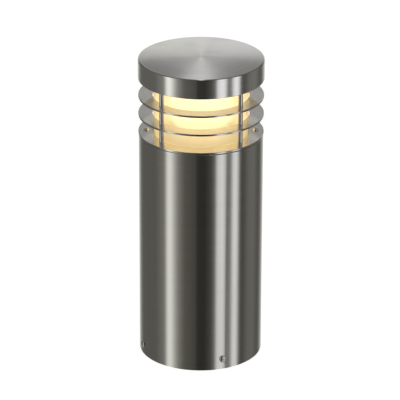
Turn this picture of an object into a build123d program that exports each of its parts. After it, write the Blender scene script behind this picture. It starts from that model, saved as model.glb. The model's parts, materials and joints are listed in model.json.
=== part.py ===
from build123d import *

import os
from math import asin, atan, cos, degrees, radians, sin, sqrt, tan

# A louvred bollard light: a stainless post on a base flange, a lift-off lamp head, and an E27 lamp inside.
#
# Millimetres, +Z up.  The origin is the centre of the underside, where the light stands on the ground.
# The head's four studs stand at 45 degrees to X and Y, and its two screws are on the X axis.

# ---------------------------------------------------------------- driving dimensions: the outside
total_height = 302.0
tube_diameter = 119.0
tube_wall = 1.5
tube_edge_radius = 0.5
disc_overhang = 0.5  # louvres and collar beyond the tube, per side
cap_overhang = 0.25  # cap beyond the louvres, per side
cap_height = 19.5  # the cap's wall, up to its shoulder
cap_crown = 2.0  # the top's rise from the shoulder to the middle
cap_wall = 1.5
cap_shoulder_radius = 1.2
cap_rim_radius = 0.6
louvre_gap = 16.5
louvre_thickness = 2.0
collar_thickness = 2.0
disc_edge_radius = 0.35
head_gasket_thickness = 0.6

# ---------------------------------------------------------------- driving dimensions: the head's inside
stud_count = 4
stud_diameter = 3.0
stud_inset = 6.0  # stud axes inside the tube's inner face
stud_tail = 3.9  # stud below the retainer
stud_top_cover = 1.0  # boss left above the stud
spacer_diameter = 5.0
spacer_to_diffuser = 4.0
diffuser_wall = 3.0
diffuser_gap = 0.8  # louvre and collar bores around the diffuser, per side
seal_thickness = 1.0
retainer_thickness = 1.5
retainer_step = 1.5  # retainer's bore inside the diffuser's, per side
retainer_fit = 0.5  # retainer inside the tube, per side
reflector_recess = 10.5  # reflector plate above the cap's rim
reflector_thickness = 1.0
boss_diameter = 8.0
nut_across_flats = 5.5
nut_height = 2.4
washer_diameter = 7.0
washer_thickness = 0.5

# ---------------------------------------------------------------- driving dimensions: screws
screw_tip_chamfer = 0.4
pan_rim_share = 0.35  # straight rim of a pan head, as a share of its height
recess_length_share = 0.6  # cross recess, as shares of the head's diameter and height
recess_width_share = 0.16
recess_depth_share = 0.6
recess_taper = 8.0
nut_bevel_share = 0.6  # nut's turned-down corners, as a share of how far they stand out
head_screw_diameter = 3.0
head_screw_length = 8.0
head_screw_head = (5.2, 1.8)  # diameter and height of the pan head
tube_screw_diameter = 4.0
tube_screw_length = 7.5
tube_screw_head = (7.0, 2.3)
tube_screw_height = 10.5
tube_screw_angle = 21.5  # from the X and Y axes
tube_screw_count = 4
small_screw_diameter = 3.0
small_screw_head = (5.5, 2.0)
block_screw_head = (3.6, 1.8)

# ---------------------------------------------------------------- driving dimensions: the base
flange_thickness = 4.0
flange_rim_height = 18.0
flange_rim_wall = 4.0
flange_rim_edge = 0.6
flange_fit = 0.3  # flange inside the tube, per side
anchor_count = 4
anchor_hole = 6.5
anchor_inset = 11.7  # anchor axes inside the flange's rim
base_gasket_width = 4.0
base_gasket_thickness = 1.5
base_gasket_inset = 6.0
cable_diameter = 9.0
grommet_hole = 20.0
grommet_lip = 3.0
grommet_lip_thickness = 1.4
grommet_lip_recess = 1.6
grommet_height = 9.0
blind_hole_floor = 1.0
hole_overrun = 2.0  # a cutter past the far face of a curved wall

# ---------------------------------------------------------------- driving dimensions: lugs and lamp strap
lug_thickness = 3.0
lug_below_retainer = 0.2
lug_reach = 6.0  # lug inboard of the head screw
lug_width = 36.0
lug_web_height = 15.0
lug_web_wall = 2.0
strap_screw_inset = 2.0  # strap screws inboard of the head screws
strap_screw_spread = 12.0
strap_screw_length = 4.2
strap_thickness = 1.5
strap_width = 34.0
strap_bend = 4.0
strap_to_lug_edge = 2.0
strap_window = 5.0  # holes that the leads pass through

# ---------------------------------------------------------------- driving dimensions: lamp and lampholder
lamp_length = 108.0
globe_radius = 30.0
globe_wall = 1.5
globe_joint_drop = 12.0  # joint between globe and housing, below the globe's centre
housing_wall = 2.0
housing_neck = 14.5
housing_neck_height = 4.0
housing_flank_share = 0.62  # flank's middle point, from the neck towards the joint
housing_hollow = 1.0
led_board_thickness = 1.6
led_board_recess = 1.0
led_board_margin = 2.0  # board's edge inside the housing's wall
led_board_bore = 2.0
lamp_cap_diameter = 26.4
lamp_cap_height = 27.0
lamp_contact_radius = 4.8
lamp_contact_height = 1.4
lamp_contact_edge = 0.8
lamp_insulator_height = 4.0
lamp_insulator_lip = 1.0
thread_pitch = 3.629
thread_depth = 0.8
thread_ridges = 5
thread_start = 2.0  # first ridge above the cap's lower end
lamp_turns = 2.5
lamp_headroom = 2.0  # left above the lamp when it is fully unscrewed
holder_diameter = 41.0
holder_base = 16.0
holder_skirt_wall = 4.0
holder_edge_radius = 1.0
holder_well = 6.0  # lamp's contact above the holder's floor
holder_rim_below_cap = 2.0
holder_sleeve_wall = 1.0
holder_sleeve_recess = 1.0  # sleeve below the skirt's rim
holder_screw_spread = 12.0
holder_screw_length = 9.0
contact_strip = (5.0, 0.6)  # width and thickness
contact_bend = 1.5
contact_gap = 0.1
lead_spread = 9.0  # lead entries in the holder, from its axis

# ---------------------------------------------------------------- driving dimensions: terminals and leads
terminal_poles = 3
terminal_pitch = 10.0
terminal_depth = 14.0
terminal_height = 18.0
terminal_lift = 28.0
terminal_back = 18.0  # back face from the post's axis
terminal_edge_radius = 1.0
terminal_screw_recess = 1.0
terminal_screw_slot = (0.5, 0.8)  # width and depth
clamp_diameter = 4.6
clamp_length = 13.0
clamp_bore = 2.9
clamp_screw_diameter = 2.5
clamp_screw_spread = 4.0
bracket_thickness = 1.5
bracket_foot = 15.0
bracket_bend = 3.0
bracket_screw_spread = 8.0
bracket_screw_length = 4.0
block_screw_length = 15.0
wire_diameter = 2.4
wire_in_holder = 8.0
wire_hole_spare = 1.0
wire_in_clamp = 8.0
wire_in_barrel = 6.0
corner_share = 0.45  # of the shorter run beside a lead's corner, given to its curve
supply_route = ((14.0, 0.0, 0.0), (36.0, 0.15, 0.2), (66.0, 0.7, 0.8))  # climb, and shares of the way across
lead_entry_run = 16.0  # straight run up to the lamp strap
earth_route = ((0, 0, 12), (12, -12, 22), (24, -17, 4), (30, -31, -21))  # from the top of its clamp
earth_entry_run = 10.0
earth_stud_diameter = 4.0
earth_stud_height = 18.0
earth_stud_offset = 30.0
earth_stud_chamfer = 0.5
earth_nut_across_flats = 7.0
earth_nut_height = 3.2
earth_ring_diameter = 9.0
earth_ring_thickness = 1.0
earth_barrel_length = 7.0
earth_barrel_wall = 0.8
earth_tab_length = 4.0

# ---------------------------------------------------------------- clearances
loose_fit = 0.3  # pieces with room around them
screw_hole_fit = 0.1  # radial, screw or stud through a plain hole
thread_fit = 0.05  # radial, thread in its tapped hole
lamp_fit = 0.06  # radial, lamp cap in the holder's sleeve
seat_gap = 0.05  # faces that are welded, glued or pressed together

# ---------------------------------------------------------------- radii that follow
tube_radius = tube_diameter / 2
tube_inner = tube_radius - tube_wall
disc_radius = tube_radius + disc_overhang
cap_radius = disc_radius + cap_overhang
cap_inner = cap_radius - cap_wall
stud_circle = tube_inner - stud_inset
stud_hole = stud_diameter / 2 + screw_hole_fit
diffuser_outer = stud_circle - spacer_diameter / 2 - spacer_to_diffuser
diffuser_inner = diffuser_outer - diffuser_wall
disc_bore = diffuser_outer + diffuser_gap
retainer_outer = tube_inner - retainer_fit
retainer_bore = diffuser_inner - retainer_step
flange_radius = tube_inner - flange_fit
flange_rim_inner = flange_radius - flange_rim_wall
anchor_circle = flange_rim_inner - anchor_inset
gasket_groove_outer = flange_radius - base_gasket_inset
gasket_groove_inner = gasket_groove_outer - base_gasket_width
gasket_outer = gasket_groove_outer - seat_gap
gasket_inner = gasket_groove_inner + seat_gap
lug_outer = tube_inner - seat_gap
lug_web_inner = lug_outer - lug_web_wall
lug_edge = stud_circle - lug_reach
strap_arm = lug_edge - strap_to_lug_edge
strap_screw_x = stud_circle - strap_screw_inset
lamp_cap_radius = lamp_cap_diameter / 2
sleeve_inner = lamp_cap_radius + lamp_fit
sleeve_outer = sleeve_inner + holder_sleeve_wall
skirt_inner = sleeve_outer + seat_gap
skirt_outer = skirt_inner + holder_skirt_wall
globe_joint_radius = sqrt(globe_radius**2 - globe_joint_drop**2)
globe_joint_angle = degrees(atan(globe_joint_drop / globe_joint_radius))
globe_inner_radius = globe_radius - globe_wall
globe_inner_joint = sqrt(globe_inner_radius**2 - globe_joint_drop**2)
globe_inner_angle = degrees(asin(globe_joint_drop / globe_inner_radius))
led_board_radius = globe_joint_radius - housing_wall - led_board_margin

# ---------------------------------------------------------------- levels that follow, from the top down
cap_shoulder = total_height - cap_crown
cap_ceiling = cap_shoulder - cap_wall
cap_rim = cap_shoulder - cap_height
reflector_bottom = cap_rim + reflector_recess
reflector_top = reflector_bottom + reflector_thickness
diffuser_top = reflector_bottom - seal_thickness
louvre_upper_top = cap_rim - louvre_gap
louvre_upper_bottom = louvre_upper_top - louvre_thickness
louvre_lower_top = louvre_upper_bottom - louvre_gap
louvre_lower_bottom = louvre_lower_top - louvre_thickness
collar_top = louvre_lower_bottom - louvre_gap
collar_bottom = collar_top - collar_thickness
tube_top = collar_bottom - head_gasket_thickness
diffuser_bottom = collar_bottom + seal_thickness
retainer_bottom = collar_bottom - retainer_thickness
washer_bottom = retainer_bottom - washer_thickness
lug_top = retainer_bottom - lug_below_retainer
lug_bottom = lug_top - lug_thickness
lamp_top = reflector_bottom - lamp_headroom - thread_pitch * lamp_turns
globe_centre = lamp_top - globe_radius
globe_joint = globe_centre - globe_joint_drop
led_board_bottom = globe_joint - led_board_recess - led_board_thickness
lamp_bottom = lamp_top - lamp_length
lamp_cap_top = lamp_bottom + lamp_cap_height
lamp_cap_bottom = lamp_bottom + lamp_contact_height + lamp_insulator_height
holder_rim = lamp_cap_top - holder_rim_below_cap
holder_floor = lamp_bottom - holder_well
holder_bottom = holder_floor - holder_base
strap_bottom = holder_bottom - strap_thickness
terminal_top = terminal_lift + terminal_height
terminal_middle = terminal_lift + terminal_height / 2
terminal_front = terminal_back - terminal_depth
terminal_screw_face = terminal_front + terminal_screw_recess
clamp_y = terminal_back - terminal_depth / 2
bracket_back = terminal_back + bracket_thickness
bracket_screw_y = bracket_back + bracket_bend + small_screw_head[0] / 2
bracket_end_y = terminal_back + bracket_foot
clamp_xs = [(pole - (terminal_poles - 1) / 2) * terminal_pitch for pole in range(terminal_poles)]
block_screw_xs = [x + terminal_pitch / 2 for x in clamp_xs[:-1]]
clamp_screw_levels = [terminal_middle - clamp_screw_spread, terminal_middle + clamp_screw_spread]
clamp_middle_top = terminal_middle + clamp_length / 2
earth_ring_bottom = flange_thickness + earth_nut_height
earth_barrel_level = earth_ring_bottom + wire_diameter / 2 + earth_barrel_wall
earth_barrel_start = earth_ring_diameter / 2
earth_barrel_end = earth_barrel_start + earth_barrel_length

# ---------------------------------------------------------------- places of repeated pieces
stud_places = PolarLocations(stud_circle, stud_count, start_angle=45)
head_screw_places = PolarLocations(stud_circle, 2)
strap_screw_places = GridLocations(2 * strap_screw_x, 2 * strap_screw_spread, 2, 2)
holder_screw_places = GridLocations(2 * holder_screw_spread, 1, 2, 1)
lead_places = GridLocations(1, 2 * lead_spread, 1, 2)
bracket_screw_spots = [(side * bracket_screw_spread, bracket_screw_y) for side in (-1, 1)]
tube_screw_turns = [tube_screw_angle + 360 * n / tube_screw_count for n in range(tube_screw_count)]


def facing_out(turn, radius, height):
    """A plane square to a radius of the post, facing away from its axis."""
    outward = Vector(cos(radians(turn)), sin(radians(turn)), 0)
    return Plane(origin=outward * radius + Vector(0, 0, height), x_dir=(0, 0, 1), z_dir=outward)


def save(piece, name):
    """Name a finished piece and write its file."""
    piece.label = name
    export_step(piece, f"parts/{name}.step")


# ---------------------------------------------------------------- shapes that several pieces share
def ring(outer, inner, bottom, thickness):
    """A flat ring about the post's axis."""
    with BuildPart() as flat_ring:
        with BuildSketch(Plane.XY.offset(bottom)):
            Circle(outer)
            Circle(inner, mode=Mode.SUBTRACT)
        extrude(amount=thickness)
    return flat_ring.part


def pan_screw(diameter, length, head):
    """A cross-recessed pan-head screw: its head sits on Z = 0, and its shank points down."""
    head_radius, head_height = head[0] / 2, head[1]
    rim_height = pan_rim_share * head_height
    slot_length, slot_width = recess_length_share * head[0], recess_width_share * head[0]
    slot_depth = recess_depth_share * head_height
    with BuildPart() as screw:
        with BuildSketch(Plane.XZ):
            with BuildLine():
                Polyline(
                    (0, head_height),
                    (0, -length),
                    (diameter / 2 - screw_tip_chamfer, -length),
                    (diameter / 2, screw_tip_chamfer - length),
                    (diameter / 2, 0),
                    (head_radius, 0),
                    (head_radius, rim_height),
                )
                TangentArc((0, head_height), (head_radius, rim_height), tangent=(1, 0))
            make_face()
        revolve(axis=Axis.Z)
        with BuildSketch(Plane.XY.offset(head_height)):
            Rectangle(slot_length, slot_width)
            Rectangle(slot_width, slot_length)
        extrude(amount=-slot_depth, taper=recess_taper, mode=Mode.SUBTRACT)
    return screw.part


def hexagon_nut(across_flats, height, bore):
    """A hexagon nut standing on Z = 0, with its corners turned down at both ends."""
    flat, corner = across_flats / 2, across_flats / sqrt(3)
    bevel = (corner - flat) * nut_bevel_share
    with BuildPart() as nut:
        with BuildSketch():
            RegularPolygon(flat, 6, major_radius=False)
        extrude(amount=height)
        with BuildSketch(Plane.XZ):
            Polygon(
                (0, 0), (flat, 0), (corner, bevel), (corner, height - bevel), (flat, height), (0, height),
                align=None,
            )
        revolve(axis=Axis.Z, mode=Mode.INTERSECT)
        with BuildSketch():
            Circle(bore)
        extrude(amount=height, mode=Mode.SUBTRACT)
    return nut.part


def group_of(piece, places, plane=Plane.XY):
    """Copies of one piece at several places on a plane, as separate solids in one node."""
    with BuildPart(plane) as group:
        with places:
            add(piece)
    return group.part


def facing_down(height):
    """A level plane that faces the ground."""
    return Plane(origin=(0, 0, height), z_dir=(0, 0, -1))


def lead_along(route):
    """An insulated lead through a route's points, its corners as round as the runs beside them allow."""
    points = [Vector(*point) for point in route]
    runs = [b - a for a, b in zip(points, points[1:])]
    corner_radii = []
    for before, after in zip(runs, runs[1:]):
        half_turn = radians(before.get_angle(after)) / 2
        corner_radii.append(corner_share * min(before.length, after.length) / tan(half_turn))
    with BuildPart() as lead:
        with BuildLine() as path:
            FilletPolyline(*points, radius=corner_radii)
        with BuildSketch(Plane(origin=points[0], z_dir=runs[0])):
            Circle(wire_diameter / 2)
        sweep(path=path.line)
    return lead.part


os.makedirs("parts", exist_ok=True)

# ================================================================ the base
with BuildPart() as base_flange:
    with BuildSketch():
        Circle(flange_radius)
    extrude(amount=flange_rim_height)
    with BuildSketch(Plane.XY.offset(flange_thickness)):
        Circle(flange_rim_inner)
    extrude(amount=flange_rim_height - flange_thickness, mode=Mode.SUBTRACT)
    fillet(base_flange.edges().filter_by(GeomType.CIRCLE).group_by(Axis.Z)[-1], radius=flange_rim_edge)
    with BuildSketch():
        Circle(grommet_hole / 2)
        with PolarLocations(anchor_circle, anchor_count, start_angle=45):
            Circle(anchor_hole / 2)
    extrude(amount=flange_thickness, mode=Mode.SUBTRACT)
    with BuildSketch():
        Circle(grommet_hole / 2 + grommet_lip + loose_fit)
    extrude(amount=grommet_lip_recess, mode=Mode.SUBTRACT)
    with BuildSketch():
        Circle(gasket_groove_outer)
        Circle(gasket_groove_inner, mode=Mode.SUBTRACT)
    extrude(amount=base_gasket_thickness, mode=Mode.SUBTRACT)
    with BuildSketch(Plane.XY.offset(flange_thickness)):
        with Locations(*bracket_screw_spots):
            Circle(small_screw_diameter / 2 + thread_fit)
        with Locations((0, -earth_stud_offset)):
            Circle(earth_stud_diameter / 2 + thread_fit)
    extrude(amount=blind_hole_floor - flange_thickness, mode=Mode.SUBTRACT)
    with BuildSketch(*[facing_out(turn, flange_radius, tube_screw_height) for turn in tube_screw_turns]):
        Circle(tube_screw_diameter / 2 + thread_fit)
    extrude(amount=-flange_rim_wall - hole_overrun, mode=Mode.SUBTRACT)
save(base_flange.part, "base_flange")

save(ring(gasket_outer, gasket_inner, 0, base_gasket_thickness), "base_gasket")

with BuildPart() as cable_grommet:
    bore, neck, lip = cable_diameter / 2, grommet_hole / 2 - seat_gap, grommet_hole / 2 + grommet_lip
    with BuildSketch(Plane.XZ):
        with BuildLine():
            Polyline(
                (bore, grommet_lip_recess - grommet_lip_thickness),
                (lip, grommet_lip_recess - grommet_lip_thickness),
                (lip, grommet_lip_recess),
                (neck, grommet_lip_recess),
                (neck, flange_thickness),
                (lip, flange_thickness),
                (lip, flange_thickness + grommet_lip_thickness),
                (bore + grommet_lip, grommet_height),
                (bore, grommet_height),
                close=True,
            )
        make_face()
    revolve(axis=Axis.Z)
save(cable_grommet.part, "cable_grommet")

# ================================================================ the post
tube_screw_planes = [facing_out(turn, tube_radius, tube_screw_height) for turn in tube_screw_turns]

with BuildPart() as post_tube:
    with BuildSketch():
        Circle(tube_radius)
    extrude(amount=tube_top)
    fillet(post_tube.edges().group_by(Axis.Z)[-1], radius=tube_edge_radius)
    with BuildSketch():
        Circle(tube_inner)
    extrude(amount=tube_top, mode=Mode.SUBTRACT)
    with BuildSketch(*tube_screw_planes):
        Circle(tube_screw_diameter / 2 + screw_hole_fit)
    extrude(amount=-tube_wall - hole_overrun, mode=Mode.SUBTRACT)
save(post_tube.part, "post_tube")

tube_screw = pan_screw(tube_screw_diameter, tube_screw_length, tube_screw_head)
save(group_of(tube_screw, Locations(*tube_screw_planes)), "tube_screws")

save(ring(tube_radius - tube_edge_radius, tube_inner, tube_top, head_gasket_thickness), "head_gasket")

# ================================================================ lugs inside the post, and the lamp strap
with BuildPart() as head_lugs:
    with BuildSketch(Plane.XY.offset(lug_top)):
        Circle(lug_outer)
        Rectangle(2 * lug_outer, lug_width, mode=Mode.INTERSECT)
        Rectangle(2 * lug_edge, lug_width, mode=Mode.SUBTRACT)
    extrude(amount=-lug_thickness)
    with BuildSketch(Plane.XY.offset(lug_bottom)):
        Circle(lug_outer)
        Circle(lug_web_inner, mode=Mode.SUBTRACT)
        Rectangle(2 * lug_outer, lug_width, mode=Mode.INTERSECT)
    extrude(amount=-lug_web_height)
    with BuildSketch(Plane.XY.offset(lug_top)):
        with head_screw_places:
            Circle(head_screw_diameter / 2 + thread_fit)
        with strap_screw_places:
            Circle(small_screw_diameter / 2 + thread_fit)
    extrude(amount=-lug_thickness, mode=Mode.SUBTRACT)
save(head_lugs.part, "head_lugs")

with BuildPart() as lamp_strap:
    with BuildSketch(Plane.XZ):
        with BuildLine():
            FilletPolyline(
                (-lug_web_inner, lug_bottom),
                (-strap_arm, lug_bottom),
                (-strap_arm, strap_bottom),
                (strap_arm, strap_bottom),
                (strap_arm, lug_bottom),
                (lug_web_inner, lug_bottom),
                radius=strap_bend,
            )
            offset(amount=strap_thickness, side=Side.LEFT)
        make_face()
    extrude(amount=strap_width / 2, both=True)
    with BuildSketch(Plane.XY.offset(strap_bottom)):
        Circle(lug_web_inner - loose_fit)
    extrude(amount=lug_bottom - strap_bottom, mode=Mode.INTERSECT)
    with BuildSketch(Plane.XY.offset(lug_bottom)):
        with head_screw_places:
            Circle(head_screw_diameter / 2 + loose_fit)
        with strap_screw_places:
            Circle(small_screw_diameter / 2 + screw_hole_fit)
    extrude(amount=-strap_thickness, mode=Mode.SUBTRACT)
    with BuildSketch(Plane.XY.offset(strap_bottom)):
        with holder_screw_places:
            Circle(small_screw_diameter / 2 + screw_hole_fit)
        with lead_places:
            Circle(strap_window / 2)
    extrude(amount=strap_thickness, mode=Mode.SUBTRACT)
save(lamp_strap.part, "lamp_strap")

strap_screw = pan_screw(small_screw_diameter, strap_screw_length, small_screw_head)
strap_screws = group_of(strap_screw, strap_screw_places, facing_down(lug_bottom - strap_thickness))
save(strap_screws, "strap_screws")

# ================================================================ the lampholder
with BuildPart() as lampholder_body:
    with BuildSketch(Plane.XY.offset(holder_bottom)):
        Circle(holder_diameter / 2)
    extrude(amount=holder_base)
    with BuildSketch(Plane.XY.offset(holder_floor)):
        Circle(skirt_outer)
        Circle(skirt_inner, mode=Mode.SUBTRACT)
    extrude(amount=holder_rim - holder_floor)
    rim_edges = lampholder_body.edges().filter_by(GeomType.CIRCLE).group_by(Axis.Z)[-1]
    fillet(rim_edges, radius=holder_edge_radius)
    with BuildSketch(Plane.XY.offset(holder_bottom)):
        with holder_screw_places:
            Circle(small_screw_diameter / 2 + thread_fit)
        with lead_places:
            Circle(wire_diameter / 2 + screw_hole_fit)
    extrude(amount=wire_in_holder + wire_hole_spare, mode=Mode.SUBTRACT)
save(lampholder_body.part, "lampholder_body")

sleeve_height = holder_rim - holder_sleeve_recess - holder_floor
save(ring(sleeve_outer, sleeve_inner, holder_floor, sleeve_height), "lampholder_sleeve")

with BuildPart() as lampholder_contact:
    strip_width, strip_thickness = contact_strip
    contact_top = lamp_bottom - contact_gap
    with BuildSketch(Plane.XZ):
        with BuildLine():
            FilletPolyline(
                (sleeve_inner / 2, holder_floor),
                (-sleeve_inner / 2, holder_floor),
                (-sleeve_inner / 3, contact_top),
                (sleeve_inner / 3, contact_top),
                radius=contact_bend,
            )
            offset(amount=strip_thickness, side=Side.RIGHT)
        make_face()
    extrude(amount=strip_width / 2, both=True)
save(lampholder_contact.part, "lampholder_contact")

holder_screw = pan_screw(small_screw_diameter, holder_screw_length, small_screw_head)
save(group_of(holder_screw, holder_screw_places, facing_down(strap_bottom)), "lampholder_screws")

# ================================================================ the mains terminals, on their bracket
with BuildPart() as terminal_bracket:
    with BuildSketch(Plane.YZ):
        with BuildLine():
            FilletPolyline(
                (terminal_back, terminal_top),
                (terminal_back, flange_thickness),
                (bracket_end_y, flange_thickness),
                radius=bracket_bend + bracket_thickness,
            )
            offset(amount=bracket_thickness, side=Side.LEFT)
        make_face()
    extrude(amount=terminal_poles * terminal_pitch / 2, both=True)
    with BuildSketch(Plane.XY.offset(flange_thickness)):
        with Locations(*bracket_screw_spots):
            Circle(small_screw_diameter / 2 + screw_hole_fit)
    extrude(amount=bracket_thickness, mode=Mode.SUBTRACT)
    with BuildSketch(Plane.XZ.offset(-terminal_back)):
        with Locations(*[(x, terminal_middle) for x in block_screw_xs]):
            Circle(small_screw_diameter / 2 + thread_fit)
    extrude(amount=-bracket_thickness, mode=Mode.SUBTRACT)
save(terminal_bracket.part, "terminal_bracket")

bracket_screw = pan_screw(small_screw_diameter, bracket_screw_length, small_screw_head)
bracket_screw_level = Plane.XY.offset(flange_thickness + bracket_thickness)
save(group_of(bracket_screw, Locations(*bracket_screw_spots), bracket_screw_level), "bracket_screws")

with BuildPart() as terminal_block:
    with BuildSketch(Plane.XY.offset(terminal_lift)):
        with Locations((0, clamp_y)):
            RectangleRounded(terminal_poles * terminal_pitch, terminal_depth, terminal_edge_radius)
    extrude(amount=terminal_height)
    with BuildSketch(Plane.XY.offset(terminal_lift)):
        with Locations(*[(x, clamp_y) for x in clamp_xs]):
            Circle(clamp_diameter / 2 + seat_gap)
    extrude(amount=terminal_height, mode=Mode.SUBTRACT)
    with BuildSketch(Plane.XZ.offset(-terminal_front)):
        with Locations(*[(x, z) for x in clamp_xs for z in clamp_screw_levels]):
            Circle(clamp_screw_diameter / 2 + loose_fit)
    extrude(amount=clamp_y - terminal_front, dir=(0, 1, 0), mode=Mode.SUBTRACT)
    with BuildSketch(Plane.XZ.offset(-terminal_front)):
        with Locations(*[(x, terminal_middle) for x in block_screw_xs]):
            Circle(small_screw_diameter / 2 + screw_hole_fit)
    extrude(amount=terminal_depth, dir=(0, 1, 0), mode=Mode.SUBTRACT)
save(terminal_block.part, "terminal_block")

block_screw = pan_screw(small_screw_diameter, block_screw_length, block_screw_head)
block_screw_places = Locations(*[(x, terminal_middle) for x in block_screw_xs])
save(group_of(block_screw, block_screw_places, Plane.XZ.offset(-terminal_front)), "block_screws")

with BuildPart() as terminal_clamps:
    with BuildSketch(Plane.XY.offset(terminal_middle)):
        with Locations(*[(x, clamp_y) for x in clamp_xs]):
            Circle(clamp_diameter / 2)
            Circle(clamp_bore / 2, mode=Mode.SUBTRACT)
    extrude(amount=clamp_length / 2, both=True)
    with BuildSketch(Plane.XZ.offset(-clamp_y)):
        with Locations(*[(x, z) for x in clamp_xs for z in clamp_screw_levels]):
            Circle(clamp_screw_diameter / 2 + thread_fit)
    extrude(amount=clamp_diameter, dir=(0, -1, 0), mode=Mode.SUBTRACT)
save(terminal_clamps.part, "terminal_clamps")

with BuildPart() as terminal_screw:
    slot_width, slot_depth = terminal_screw_slot
    with BuildSketch():
        Circle(clamp_screw_diameter / 2)
    extrude(amount=terminal_screw_face + clamp_bore / 2 - clamp_y)
    with BuildSketch():
        Rectangle(clamp_screw_diameter, slot_width)
    extrude(amount=-slot_depth, mode=Mode.SUBTRACT)
terminal_screw_places = Locations(*[(x, z) for x in clamp_xs for z in clamp_screw_levels])
terminal_screw_plane = Plane.XZ.offset(-terminal_screw_face)
save(group_of(terminal_screw.part, terminal_screw_places, terminal_screw_plane), "terminal_screws")

# ================================================================ the earth stud
with BuildPart() as earth_stud:
    with BuildSketch(Plane.XY.offset(blind_hole_floor)):
        with Locations((0, -earth_stud_offset)):
            Circle(earth_stud_diameter / 2)
    extrude(amount=earth_stud_height - blind_hole_floor)
    chamfer(earth_stud.edges().group_by(Axis.Z)[-1], length=earth_stud_chamfer)
save(earth_stud.part, "earth_stud")

earth_nut = hexagon_nut(earth_nut_across_flats, earth_nut_height, earth_stud_diameter / 2 + thread_fit)
earth_nut_spots = Locations(
    (0, -earth_stud_offset, flange_thickness),
    (0, -earth_stud_offset, earth_ring_bottom + earth_ring_thickness),
)
save(group_of(earth_nut, earth_nut_spots), "earth_nuts")

with BuildPart() as earth_ring:
    barrel_start = (earth_barrel_start, -earth_stud_offset, earth_barrel_level)
    barrel_plane = Plane(origin=barrel_start, z_dir=(1, 0, 0))
    with BuildSketch(Plane.XY.offset(earth_ring_bottom)):
        with Locations((0, -earth_stud_offset)):
            Circle(earth_ring_diameter / 2)
        with Locations((earth_barrel_start, -earth_stud_offset)):
            Rectangle(earth_tab_length, wire_diameter)
        with Locations((0, -earth_stud_offset)):
            Circle(earth_stud_diameter / 2 + screw_hole_fit, mode=Mode.SUBTRACT)
    extrude(amount=earth_ring_thickness)
    with BuildSketch(barrel_plane):
        Circle(wire_diameter / 2 + earth_barrel_wall)
    extrude(amount=earth_barrel_length)
    with BuildSketch(barrel_plane):
        Circle(wire_diameter / 2 + seat_gap)
    extrude(amount=earth_barrel_length, mode=Mode.SUBTRACT)
save(earth_ring.part, "earth_ring")

# ================================================================ the leads inside the post
lead_bottom = clamp_middle_top - wire_in_clamp
for lead_name, clamp_x, side in (("lead_live", clamp_xs[0], 1), ("lead_neutral", clamp_xs[-1], -1)):
    entry_y = side * lead_spread
    route = [(clamp_x, clamp_y, lead_bottom)]
    for climb, share_x, share_y in supply_route:
        x, y = (1 - share_x) * clamp_x, (1 - share_y) * clamp_y + share_y * entry_y
        route.append((x, y, terminal_top + climb))
    route.append((0, entry_y, strap_bottom - lead_entry_run))
    route.append((0, entry_y, holder_bottom + wire_in_holder))
    save(lead_along(route), lead_name)

route = [(clamp_xs[1], clamp_y, lead_bottom)]
route += [(clamp_xs[1] + x, clamp_y + y, terminal_top + z) for x, y, z in earth_route]
route.append((earth_barrel_end + earth_entry_run, -earth_stud_offset, earth_barrel_level))
route.append((earth_barrel_end - wire_in_barrel, -earth_stud_offset, earth_barrel_level))
save(lead_along(route), "lead_earth")

# ================================================================ the lamp head: cap and its studs
with BuildPart() as cap:
    with BuildSketch(Plane.XZ):
        with BuildLine():
            Polyline((0, total_height), (0, cap_rim), (cap_radius, cap_rim), (cap_radius, cap_shoulder))
            TangentArc((0, total_height), (cap_radius, cap_shoulder), tangent=(1, 0))
        make_face()
    revolve(axis=Axis.Z)
    cap_rings = cap.edges().filter_by(lambda edge: edge.is_closed).sort_by(Axis.Z)
    fillet(cap_rings[-1], radius=cap_shoulder_radius)
    fillet(cap_rings[0], radius=cap_rim_radius)
    with BuildSketch(Plane.XY.offset(cap_rim)):
        Circle(cap_inner)
    extrude(amount=cap_height - cap_wall, mode=Mode.SUBTRACT)
save(cap.part, "cap")

with BuildPart() as cap_bosses:
    with BuildSketch(Plane.XY.offset(reflector_top)):
        with stud_places:
            Circle(boss_diameter / 2)
    extrude(amount=cap_ceiling - reflector_top)
    with BuildSketch(Plane.XY.offset(reflector_top)):
        with stud_places:
            Circle(stud_diameter / 2 + thread_fit)
    extrude(amount=cap_ceiling - reflector_top - stud_top_cover, mode=Mode.SUBTRACT)
save(cap_bosses.part, "cap_bosses")

with BuildPart() as tie_studs:
    with BuildSketch(Plane.XY.offset(retainer_bottom - stud_tail)):
        with stud_places:
            Circle(stud_diameter / 2)
    extrude(amount=cap_ceiling - stud_top_cover - retainer_bottom + stud_tail)
    chamfer(tie_studs.edges().group_by(Axis.Z)[0], length=screw_tip_chamfer)
save(tie_studs.part, "tie_studs")

with BuildPart() as reflector_plate:
    with BuildSketch(Plane.XY.offset(reflector_bottom)):
        Circle(cap_inner - loose_fit)
        with stud_places:
            Circle(stud_hole, mode=Mode.SUBTRACT)
    extrude(amount=reflector_thickness)
save(reflector_plate.part, "reflector_plate")

# ================================================================ the louvres, the collar and their spacers
louvre_bottoms = {"louvre_upper": louvre_upper_bottom, "louvre_lower": louvre_lower_bottom}
for louvre_name, louvre_bottom in louvre_bottoms.items():
    with BuildPart() as louvre:
        with BuildSketch(Plane.XY.offset(louvre_bottom)):
            Circle(disc_radius)
        extrude(amount=louvre_thickness)
        fillet(louvre.edges().filter_by(GeomType.CIRCLE), radius=disc_edge_radius)
        with BuildSketch(Plane.XY.offset(louvre_bottom)):
            Circle(disc_bore)
            with stud_places:
                Circle(stud_hole)
        extrude(amount=louvre_thickness, mode=Mode.SUBTRACT)
    save(louvre.part, louvre_name)

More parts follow.
